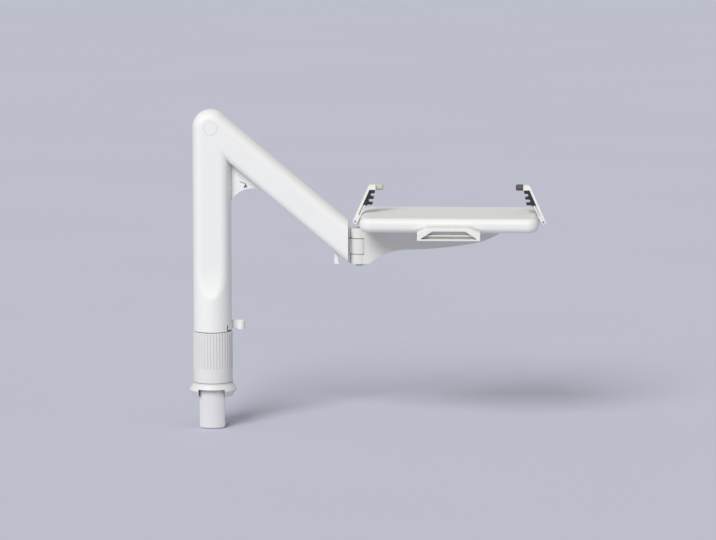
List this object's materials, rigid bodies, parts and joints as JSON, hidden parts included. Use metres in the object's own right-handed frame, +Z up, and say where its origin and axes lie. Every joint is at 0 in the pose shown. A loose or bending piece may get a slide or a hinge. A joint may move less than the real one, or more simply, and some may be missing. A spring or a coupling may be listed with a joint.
{
  "type": "phone holder arm",
  "caption": "Desk-clamp swing arm in white plastic with a fixed slanting boom, a swivelling telephone tray, a handset rest and side holders.",
  "frame": {"origin": "on the desk top, below the column's axis, in the plane of the foot's pad", "axes": "+Z up along the column, +X along the arm, the clamp's leg and the handset rest towards -Y"},
  "size_m": [0.5031, 0.183, 0.4513],
  "materials": {
    "shell_white": "satin moulded",
    "clamp_white": "satin moulded",
    "leg_paint": "satin paint",
    "tray_white": "satin moulded",
    "bracket_white": "satin paint",
    "rack_dark": "matt moulded",
    "grip_rubber": "matt",
    "pad_rubber": "matt",
    "bare_steel": "plain",
    "bush_plastic": "plain"
  },
  "bodies": {
    "base": {"foot": "clamp_white", "foot_pad": "pad_rubber", "post": "bare_steel", "post_screw": "bare_steel", "thrust_washer": "bare_steel"},
    "hand_nut": {"collar": "clamp_white"},
    "jaw": {"clamp_leg": "leg_paint", "jaw_pad": "pad_rubber"},
    "swing_arm": {"front_shell": "shell_white", "back_shell": "shell_white", "steel_frame": "bare_steel", "lower_bush": "bush_plastic", "upper_bush": "bush_plastic", "bend_caps": "shell_white", "bend_bolt": "bare_steel", "bend_nut": "bare_steel", "shell_screws": "bare_steel", "column_cable_clip": "shell_white", "arm_cable_clip": "shell_white", "hinge_lug": "bracket_white", "lug_pins": "bare_steel"},
    "platform": {"tray_bracket": "bracket_white", "hinge_pin": "bare_steel", "hinge_clip": "bare_steel", "hinge_washers": "bush_plastic", "bracket_screws": "bare_steel", "tray": "tray_white", "handset_rest": "tray_white", "rest_screws": "bare_steel", "left_pivot_pin": "bare_steel", "right_pivot_pin": "bare_steel"},
    "left_holder": {"left_side_arm": "tray_white", "left_rack": "rack_dark", "left_grip_pad": "grip_rubber"},
    "right_holder": {"right_side_arm": "tray_white", "right_rack": "rack_dark", "right_grip_pad": "grip_rubber"}
  },
  "joints": [
    {"name": "collar_turn", "type": "hinge", "parent": "base", "child": "hand_nut", "pos_m": [0, 0, 0.0203], "axis": [0, 0, 1], "range_deg": [-722, 218]},
    {"name": "jaw_slide", "type": "slide", "parent": "base", "child": "jaw", "axis": [0, 0, 1], "range_m": [-0.006, 0.02]},
    {"name": "column_swivel", "type": "hinge", "parent": "base", "child": "swing_arm", "pos_m": [0, 0, 0.0933], "axis": [0, 0, 1], "continuous": true},
    {"name": "platform_swivel", "type": "hinge", "parent": "swing_arm", "child": "platform", "pos_m": [0.208, 0, 0.21496], "axis": [0, 0, 1], "range_deg": [-40, 40]},
    {"name": "left_holder_swing", "type": "hinge", "parent": "platform", "child": "left_holder", "pos_m": [0.202, 0, 0.24946], "axis": [0, -1, 0], "range_deg": [-4, 35]},
    {"name": "right_holder_swing", "type": "hinge", "parent": "platform", "child": "right_holder", "pos_m": [0.466, 0, 0.24946], "axis": [0, 1, 0], "range_deg": [-4, 35]}
  ],
  "couplings": [
    {"joint": "collar_turn", "follows": "jaw_slide", "rad_per_m": -628.32}
  ]
}
